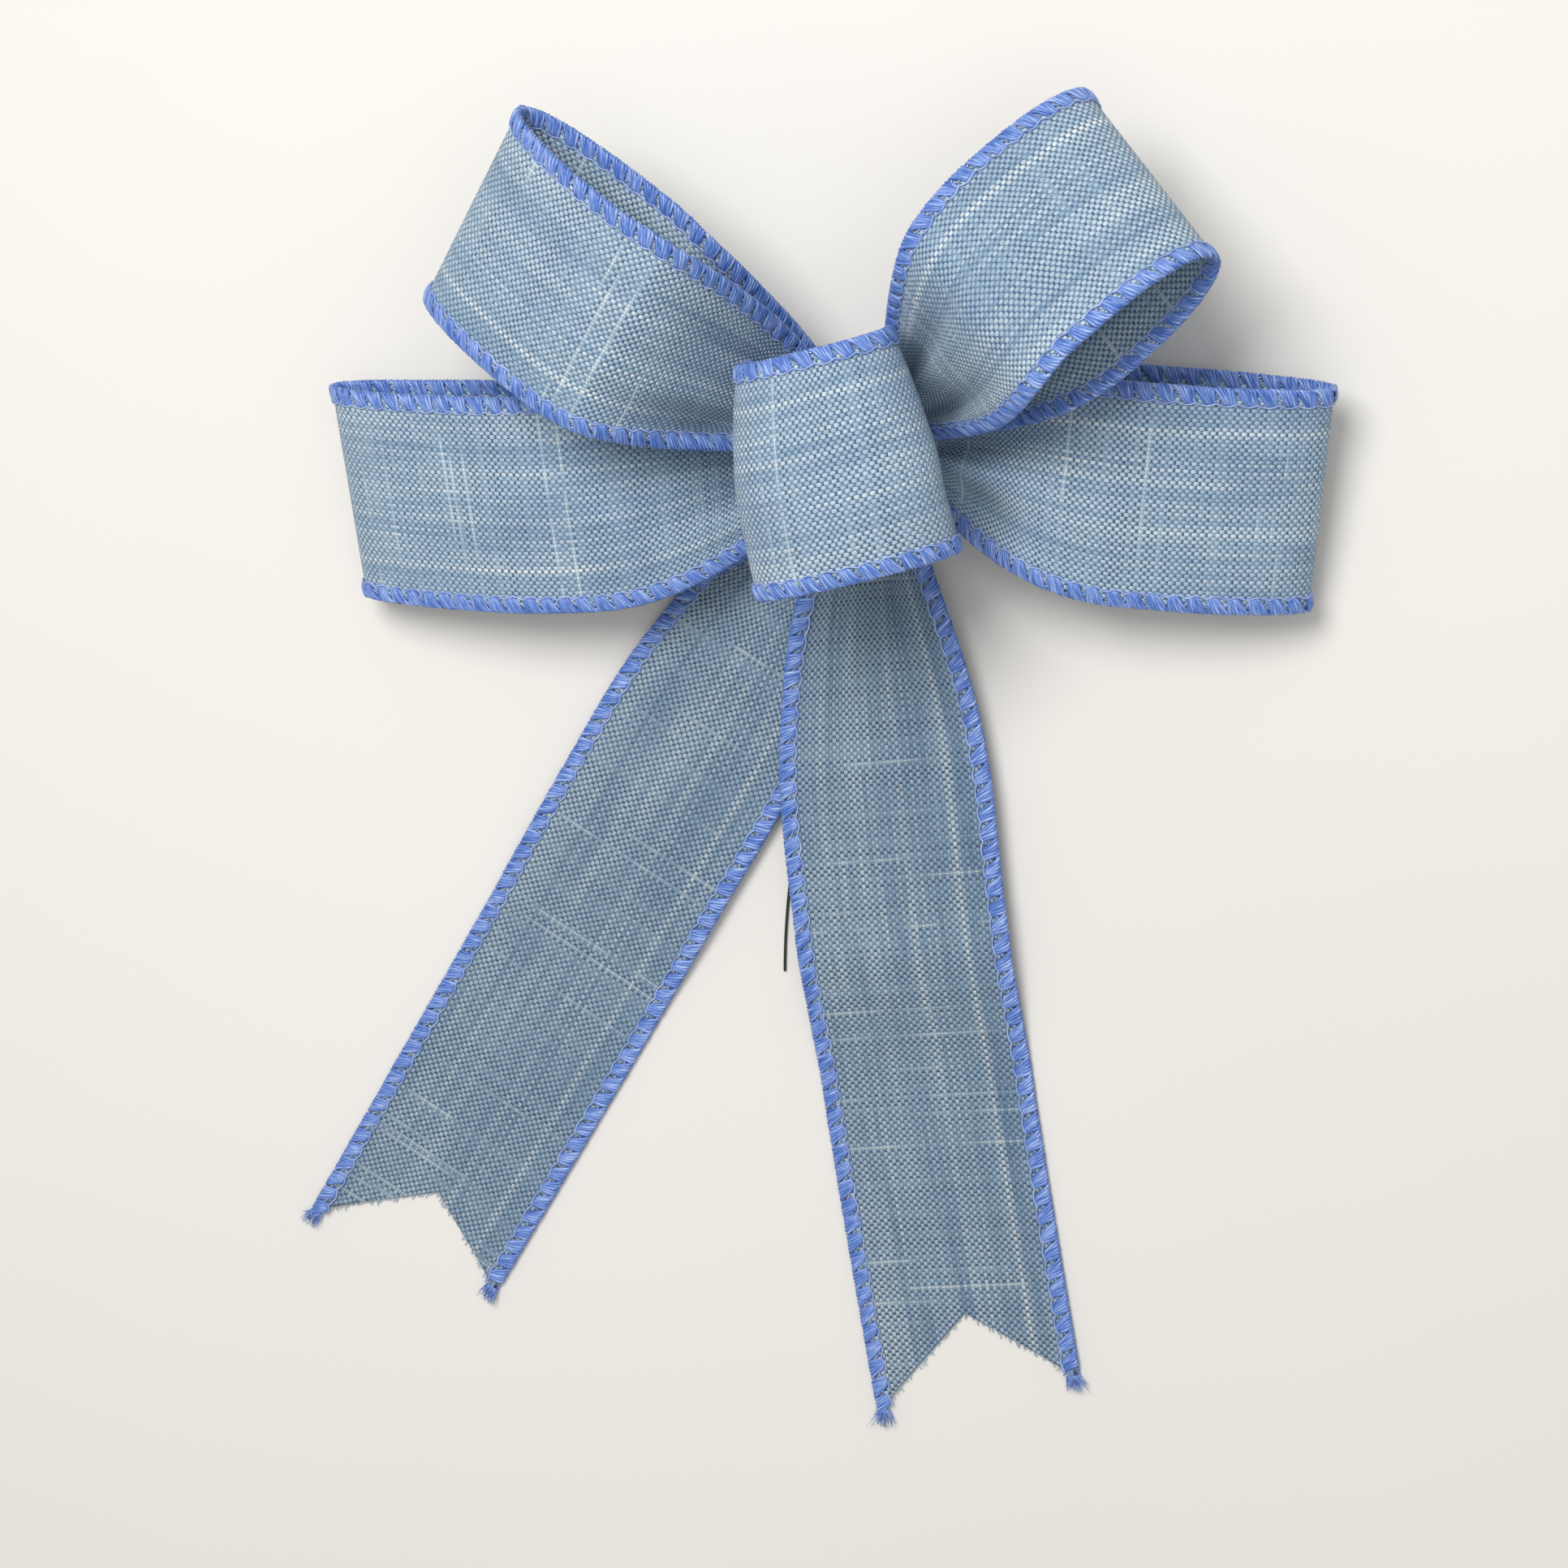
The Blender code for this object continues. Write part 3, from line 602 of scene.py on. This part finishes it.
def gathered_core(material):
    """The pinched cloth: deep pleats round a bundle that the tie wire draws in at its waist."""
    low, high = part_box("gathered_core")
    bottom, top = low[2], high[2]
    around = np.linspace(0.0, tau, CORE_COLUMNS, endpoint=False)
    levels = np.linspace(-1.0, 1.0, CORE_LEVELS)
    level_grid, angle_grid = np.meshgrid(levels, around, indexing="ij")
    pleats = 1.0 - np.cos(CORE_PLEATS * angle_grid + 0.8 * np.sin(2.0 * level_grid))
    creases = 1.0 - np.cos(CORE_CREASES * angle_grid + 1.7)
    folded = 1.0 - CORE_PLEAT_DEPTH * pleats - CORE_CREASE_DEPTH * creases
    rim = np.minimum(1.0, CORE_FULLNESS * np.sqrt(np.maximum(1.0 - level_grid ** 2, 0.0)) + 0.02)
    radius = CORE_FILL * CORE_RADIUS * folded * rim
    x = radius * np.cos(angle_grid)
    waist = 1.0 - (1.0 - CORE_WAIST) * np.exp(-((x / CORE_WAIST_LENGTH) ** 2))
    y = radius * np.sin(angle_grid) * waist
    middle, half_high = (top + bottom) / 2.0, (top - bottom) / 2.0
    z = middle + half_high * level_grid * waist
    points = np.stack((x + TIE[0], y + TIE[1], z), axis=-1).reshape(-1, 3)
    uvs = np.stack((z.ravel(), angle_grid.ravel() * CORE_RADIUS * CORE_CLOTH), axis=1)
    faces = grid_faces(len(levels), len(around), closed=True)
    ring = list(range(len(around)))
    faces.append(ring)
    faces.append([len(around) * (len(levels) - 1) + index for index in reversed(ring)])
    new_piece("pinched_cloth", points, faces, uvs, material, "core", ("gathered_core",))


def twist_strand(strand, distance):
    """One of the two strands of the tie wire's twist, which runs flat under the tails."""
    share = (distance - TWIST_START) / (TWIST_END - TWIST_START)
    angle = tau * TWIST_TURNS * share + pi * strand
    sideways = TWIST_RADIUS * np.cos(angle)
    height = TWIST_HEIGHT + TWIST_RADIUS * np.sin(angle)
    return TIE + np.stack((sideways, -distance, height), axis=1)


def tie_wires(material):
    """The wire round the core's waist, its twist under the tails and its two free ends."""
    stations = np.linspace(TWIST_END, TWIST_START, WIRE_POINTS)
    half_high = (KNOT_BASE - TWIST_HEIGHT) / 2.0 - WIRE_CLEARANCE
    middle = TWIST_HEIGHT + half_high
    half_wide = CORE_RADIUS * CORE_WAIST + 4.0 * TIE_WIRE_RADIUS
    share = np.linspace(RING_TRIM, 1.0 - RING_TRIM, WIRE_POINTS)
    angle = -pi / 2.0 - RING_GAP - (tau - 2.0 * RING_GAP) * share
    lean = TWIST_RADIUS * (1.0 - 2.0 * share)
    ring = TIE + np.stack((lean, half_wide * np.cos(angle), middle + half_high * np.sin(angle)), axis=1)
    path = np.concatenate((twist_strand(0, stations), ring, twist_strand(1, stations[::-1])))
    threads = Threads()
    threads.add(path, TIE_WIRE_RADIUS, rows(np.array((1.0, 0.0, 0.0)), len(path)), sides=10)
    threads.build("tie_wire_twist", material, "core", ("tie_wire",))
    for side_name, (side, length, spread) in WIRE_ENDS.items():
        node = f"tie_wire_{side_name}_end"
        start = TIE + np.array((side * TWIST_RADIUS, -TWIST_END - WIRE_CLEARANCE - 2.0 * TIE_WIRE_RADIUS,
                                TWIST_HEIGHT))
        share = np.linspace(0.0, 1.0, 60)
        drop = (WIRE_END_HEIGHT - TWIST_HEIGHT) * smooth(0.0, WIRE_END_DROP, share)
        path = start + np.stack((side * spread * np.sin(pi / 2.0 * share), -length * share, drop), axis=1)
        threads = Threads()
        threads.add(path, TIE_WIRE_RADIUS, sides=10)
        threads.build(f"{node}_round", material, f"{side_name}_wire_end", (node,))


# ---------------------------------------------------------------- materials
class Nodes:
    """A short way to write a material's node tree."""

    def __init__(self, name):
        self.material = bpy.data.materials.new(name)
        self.material.use_nodes = True
        self.tree = self.material.node_tree
        self.shader = self.tree.nodes["Principled BSDF"]

    def link(self, value, socket):
        if isinstance(value, bpy.types.NodeSocket):
            self.tree.links.new(value, socket)
        else:
            socket.default_value = value

    def node(self, kind, inputs=(), output=0, **settings):
        made = self.tree.nodes.new(kind)
        for key, value in settings.items():
            setattr(made, key, value)
        pairs = inputs.items() if isinstance(inputs, dict) else enumerate(inputs)
        for key, value in pairs:
            if value is not None:
                self.link(value, made.inputs[key])
        return made.outputs[output]

    def metres(self):
        """The UVs of new_piece."""
        return self.node("ShaderNodeUVMap", uv_map="metres")

    def math(self, operation, a, b=None):
        return self.node("ShaderNodeMath", (a, b), operation=operation)

    def stretch(self, vector, factors):
        return self.node("ShaderNodeVectorMath", (vector, factors), operation="MULTIPLY")

    def noise(self, vector, scale, detail, roughness=0.5, output=0):
        inputs = {"Vector": vector, "Scale": scale, "Detail": detail, "Roughness": roughness}
        return self.node("ShaderNodeTexNoise", inputs, output)

    def bump(self, height, strength, distance, normal=None):
        inputs = {"Strength": strength, "Distance": distance, "Height": height, "Normal": normal}
        return self.node("ShaderNodeBump", inputs)

    def total(self, *weighted):
        """The sum of (value, weight) pairs."""
        result = None
        for value, weight in weighted:
            part = self.math("MULTIPLY", value, weight)
            result = part if result is None else self.math("ADD", result, part)
        return result

    def mix(self, share, a, b, blend="MIX"):
        """Colour a, with this share of colour b."""
        made = self.tree.nodes.new("ShaderNodeMix")
        made.data_type = "RGBA"
        made.blend_type = blend
        for value, index in ((share, 0), (a, 6), (b, 7)):
            self.link(value, made.inputs[index])
        return made.outputs[2]

    def spread(self, value, low, high, start, end):
        """Maps low to high onto start to end, and holds the ends."""
        return self.node("ShaderNodeMapRange", (value, low, high, start, end))

    def ramp(self, value, stops):
        made = self.tree.nodes.new("ShaderNodeValToRGB")
        self.link(value, made.inputs[0])
        elements = made.color_ramp.elements
        while len(elements) < len(stops):
            elements.new(0.5)
        for element, (place, colour) in zip(elements, stops):
            element.position = place
            element.color = (*colour, 1.0)
        return made.outputs[0]

    def set(self, **values):
        """Sets the shader's inputs, where an underscore stands for a space."""
        for key, value in values.items():
            self.link(value, self.shader.inputs[key.replace("_", " ")])


def srgb(red, green, blue):
    """A linear colour from 0-255 screen values."""
    def linear(value):
        value /= 255.0
        return value / 12.92 if value <= 0.04045 else ((value + 0.055) / 1.055) ** 2.4
    return linear(red), linear(green), linear(blue)


# Each stop is a place on a scale of shades and the colour there.
WARP_STOPS = ((0.25, srgb(118, 150, 178)), (0.45, srgb(156, 184, 204)), (0.62, srgb(186, 207, 220)),
              (0.84, srgb(228, 236, 236)))
WEFT_STOPS = ((0.22, srgb(42, 72, 112)), (0.46, srgb(76, 110, 150)), (0.66, srgb(124, 156, 186)),
              (0.86, srgb(214, 226, 232)))
PALE_FIBRE = srgb(214, 226, 232)
PATCH_BLUE = srgb(64, 100, 146)
# Painted shade: a dark navy laid in the low gaps between threads.
GAP_PAINTED_SHADE = srgb(22, 38, 62)
# The overlock's palest stop is partly pale filaments and partly a painted highlight on the lustrous yarn.
STITCH_STOPS = ((0.35, srgb(38, 76, 156)), (0.49, srgb(84, 124, 202)), (0.61, srgb(172, 194, 240)))
LOCKING_STOPS = ((0.36, srgb(92, 124, 196)), (0.60, srgb(176, 196, 238)))
TAIL_PAINTED_SHADE = (0.72, 0.73, 0.74)       # painted shade: the tails' copy of the weave is made darker to stand in for the weaker light on them
CUT_STOPS = ((0.30, srgb(110, 142, 172)), (0.70, srgb(204, 220, 228)))


def one_thread(n, index, salt):
    """A random value for each thread. Each use has its own salt, as in drifting."""
    return n.node("ShaderNodeTexWhiteNoise", {"W": n.math("ADD", index, salt)}, noise_dimensions="1D")


def drifting(n, along, along_scale, across, across_scale, salt):
    """A value that drifts slowly along a thread, and faster or slower from thread to thread."""
    vector = n.node("ShaderNodeCombineXYZ", (n.math("MULTIPLY", along, along_scale),
                                             n.math("MULTIPLY", across, across_scale), salt))
    return n.noise(vector, 1.0, 2.0, 0.6)


def thread_height(n, across, half_width, along, crossed_index, over):
    """Round across the thread, and up and down along it as it passes over and under its neighbours."""
    offset = n.math("DIVIDE", n.math("SUBTRACT", n.math("FRACT", across), 0.5), half_width)
    round_part = n.math("SUBTRACT", 1.0, n.math("MULTIPLY", offset, offset))
    phase = n.math("ADD", n.math("SUBTRACT", along, 0.5), crossed_index)
    swing = n.math("COSINE", n.math("MULTIPLY", phase, pi))
    return n.total((round_part, 0.48), (swing, 0.5 * over))


def thread_counts(n, uv):
    """Places counted in threads along and across the ribbon, with a wobble so that no thread is straight."""
    wobble = n.noise(uv, 240.0, 2.0, output=1)
    shifted = n.node("ShaderNodeVectorMath", (wobble, (0.5, 0.5, 0.5)), operation="SUBTRACT")
    shifted = n.node("ShaderNodeVectorMath", {0: shifted, "Scale": 0.22 * MM}, operation="SCALE")
    spot = n.node("ShaderNodeVectorMath", (uv, shifted), operation="ADD")
    parts = n.tree.nodes.new("ShaderNodeSeparateXYZ")
    n.link(spot, parts.inputs[0])
    return n.math("DIVIDE", parts.outputs[0], WEFT_PITCH), n.math("DIVIDE", parts.outputs[1], WARP_PITCH)


def warp_colours(n, x, index):
    """Each lengthwise thread has a shade that drifts along it, and neighbours share a broad band's shade."""
    shade = n.total((one_thread(n, index, 11.3), 0.20), (drifting(n, x, 0.05, index, 3.3, 1.7), 0.40),
                    (drifting(n, x, 0.008, index, 0.13, 5.5), 0.40))
    pale_thread = n.spread(one_thread(n, index, 71.7), 0.92, 0.98, 0.0, 0.22)
    return n.ramp(n.math("ADD", shade, pale_thread), WARP_STOPS)


def weft_colours(n, y, index):
    """The same for the crosswise threads, some of which have pale stretches."""
    shade = n.total((one_thread(n, index, 47.9), 0.24), (drifting(n, y, 0.06, index, 3.1, 9.2), 0.46),
                    (drifting(n, y, 0.012, index, 0.10, 2.4), 0.24))
    pale_stretch = n.spread(drifting(n, y, 0.04, index, 1.9, 4.6), 0.40, 0.60, 0.0, 1.0)
    pale_thread = n.spread(one_thread(n, index, 83.1), 0.88, 0.98, 0.0, 0.52)
    return n.ramp(n.math("ADD", shade, n.math("MULTIPLY", pale_thread, pale_stretch)), WEFT_STOPS)


def weave_material(name, shade):
    """Plain weave, cross-dyed: thick pale lengthwise threads, thin dark blue crosswise ones, and slubs."""
    n = Nodes(name)
    uv = n.metres()
    x, y = thread_counts(n, uv)
    weft_index, warp_index = n.math("FLOOR", x), n.math("FLOOR", y)
    warp_slub = drifting(n, x, 0.06, warp_index, 0.77, 3.1)
    weft_slub = drifting(n, y, 0.06, weft_index, 0.77, 7.7)
    warp_height = thread_height(n, y, n.spread(warp_slub, 0.3, 0.7, 0.45, 0.60), x, warp_index, 1.0)
    weft_height = thread_height(n, x, n.spread(weft_slub, 0.3, 0.7, 0.21, 0.32), y, weft_index, -1.0)
    height = n.math("MAXIMUM", warp_height, weft_height)
    weft_on_top = n.math("GREATER_THAN", weft_height, warp_height)

    colour = n.mix(weft_on_top, warp_colours(n, x, warp_index), weft_colours(n, y, weft_index))
    fibres = n.noise(uv, 5200.0, 2.0)
    colour = n.mix(n.spread(fibres, 0.45, 0.75, 0.0, 0.30), colour, (*PALE_FIBRE, 1.0))
    patches = n.noise(n.stretch(uv, (1.0, 2.4, 1.0)), 34.0, 3.0, 0.6)
    colour = n.mix(n.spread(patches, 0.45, 0.72, 0.0, 0.30), colour, (*PATCH_BLUE, 1.0))
    # Painted shade in the gaps: the lower the threads, the more dark navy.
    colour = n.mix(n.spread(height, -0.15, 0.40, 0.85, 0.0), colour, (*GAP_PAINTED_SHADE, 1.0))
    # Multiplies in painted shade; white leaves the colour as it is.
    colour = n.mix(1.0, colour, (*shade, 1.0), "MULTIPLY")
    fine_bump = n.bump(fibres, 0.35, 0.05 * MM, n.bump(height, 0.8, 0.22 * MM))
    n.set(Base_Color=colour, Roughness=0.82, Normal=fine_bump, Sheen_Weight=0.2, Sheen_Roughness=0.45)
    n.set(Specular_IOR_Level=0.2)
    return n.material


def yarn_material(name, stops, roughness):
    """Yarn whose filaments run along it, with lighter and darker stretches."""
    n = Nodes(name)
    uv = n.metres()
    filaments = n.noise(n.stretch(uv, (380.0, 5200.0, 1.0)), 1.0, 3.0, 0.65)
    drift = n.noise(uv, 130.0, 1.0)
    colour = n.ramp(n.total((filaments, 0.65), (drift, 0.35)), stops)
    n.set(Base_Color=colour, Roughness=roughness, Normal=n.bump(filaments, 0.5, 0.08 * MM))
    n.set(Specular_IOR_Level=0.6, Sheen_Weight=0.1, Sheen_Roughness=0.35)
    return n.material


def metal_material(name, base, roughness, metallic):
    """Drawn wire, slightly mottled along its length."""
    n = Nodes(name)
    grain = n.noise(n.stretch(n.metres(), (300.0, 4000.0, 1.0)), 1.0, 3.0)
    colour = n.ramp(grain, ((0.3, tuple(part * 0.6 for part in base)), (0.7, base)))
    n.set(Base_Color=colour, Roughness=n.spread(grain, 0.3, 0.7, roughness * 0.8, roughness * 1.25))
    n.set(Metallic=metallic, Normal=n.bump(grain, 0.2, 0.03 * MM))
    return n.material


# ---------------------------------------------------------------- build
weave = weave_material("woven_heather_blue", (1.0, 1.0, 1.0))
# The tails' copy of the weave carries painted shade.
tail_weave_painted_shade = weave_material("woven_heather_blue_painted_shade", TAIL_PAINTED_SHADE)
overlock = yarn_material("overlock_cornflower", STITCH_STOPS, 0.34)
pale_overlock = yarn_material("locking_thread_pale_blue", LOCKING_STOPS, 0.4)
cut_yarn = yarn_material("cut_thread_ends", CUT_STOPS, 0.8)
steel = metal_material("edge_wire_steel", (0.55, 0.55, 0.56), 0.35, 1.0)
tie_green = metal_material("tie_wire_enamel", (0.022, 0.034, 0.024), 0.42, 0.0)

RIBBONS = [(name, loop_surface, shape, False) for name, shape in LOOPS.items()]
RIBBONS.append(("centre_loop", knot_surface, KNOT, False))
RIBBONS += [(name, tail_surface, shape, True) for name, shape in TAILS.items()]

for name, surface, shape, is_tail in RIBBONS:
    cloth_piece(name, surface, shape, tail_weave_painted_shade if is_tail else weave, is_tail)
    for edge, side_name in ((1.0, "left"), (-1.0, "right")):
        end = float(tail_length_share(shape, np.array([edge * BAND_PLACE]))[0]) if is_tail else 1.0
        stitched_edge(name, side_name, surface, shape, edge, end, overlock, pale_overlock)
        edge_wire(name, side_name, surface, shape, edge, end, steel)
        if is_tail:
            frayed_tip(name, shape, edge, overlock)
    if is_tail:
        cut_threads(name, shape, cut_yarn)
gathered_core(weave)
tie_wires(tie_green)


# ---------------------------------------------------------------- floor, light and camera
ROOM_LIGHT = 0.40
BACKDROP_LIGHT = 0.72


def pale_table():
    """A plain table just under the bow."""
    n = Nodes("pale_table")
    mottle = n.noise(None, 14.0, 4.0)
    n.set(Base_Color=n.ramp(mottle, ((0.3, srgb(226, 224, 219)), (0.7, srgb(232, 230, 226)))), Roughness=0.55)
    bpy.ops.mesh.primitive_plane_add(size=6.0, location=(0.0, 0.0, -0.1 * MM))
    table = bpy.context.object
    table.name = "table"
    table.data.materials.append(n.material)


def area_light(name, place, size, power, colour):
    """A round soft light aimed at the bow."""
    data = bpy.data.lights.new(name, "AREA")
    data.shape = "DISK"
    data.size = size
    data.energy = power
    data.color = colour
    made = bpy.data.objects.new(name, data)
    bpy.context.scene.collection.objects.link(made)
    made.location = place
    made.rotation_euler = (-Vector(place)).to_track_quat("-Z", "Y").to_euler()


def soft_room():
    """Even light from all round, with a brighter backdrop for the camera."""
    world = bpy.data.worlds.new("soft_room")
    world.use_nodes = True
    tree = world.node_tree
    background = tree.nodes["Background"]
    background.inputs["Color"].default_value = (1.0, 0.985, 0.965, 1.0)
    light_path = tree.nodes.new("ShaderNodeLightPath")
    strength = tree.nodes.new("ShaderNodeMapRange")
    strength.inputs["To Min"].default_value = ROOM_LIGHT
    strength.inputs["To Max"].default_value = BACKDROP_LIGHT
    tree.links.new(light_path.outputs["Is Camera Ray"], strength.inputs["Value"])
    tree.links.new(strength.outputs["Result"], background.inputs["Strength"])
    bpy.context.scene.world = world
    bpy.context.scene.view_settings.view_transform = "Standard"


def overhead_camera():
    """Looks down at the bow from beyond its upper right, with +Y up in the picture."""
    viewpoint = Vector((TIE[0] + 78.7 * MM, TIE[1] + 1.6 * MM, 384.0 * MM))
    target = Vector((0.0, -1.0 * MM, 12.0 * MM))
    stand_back = 1.5
    data = bpy.data.cameras.new("camera")
    data.sensor_width = 36.0
    data.lens = 78.0
    data.clip_start = 0.01
    camera = bpy.data.objects.new("camera", data)
    bpy.context.scene.collection.objects.link(camera)
    camera.location = target + (viewpoint - target) * stand_back
    back = (camera.location - target).normalized()
    right = Vector((0.0, 1.0, 0.0)).cross(back).normalized()
    camera.rotation_euler = Matrix((right, back.cross(right), back)).transposed().to_euler()
    bpy.context.scene.camera = camera


pale_table()
area_light("window", (-0.10, 0.36, 0.72), 0.4, 4.5, (1.0, 0.985, 0.965))
area_light("ceiling", (0.30, 0.05, 1.3), 1.2, 3.6, (1.0, 0.99, 0.975))
soft_room()
overhead_camera()
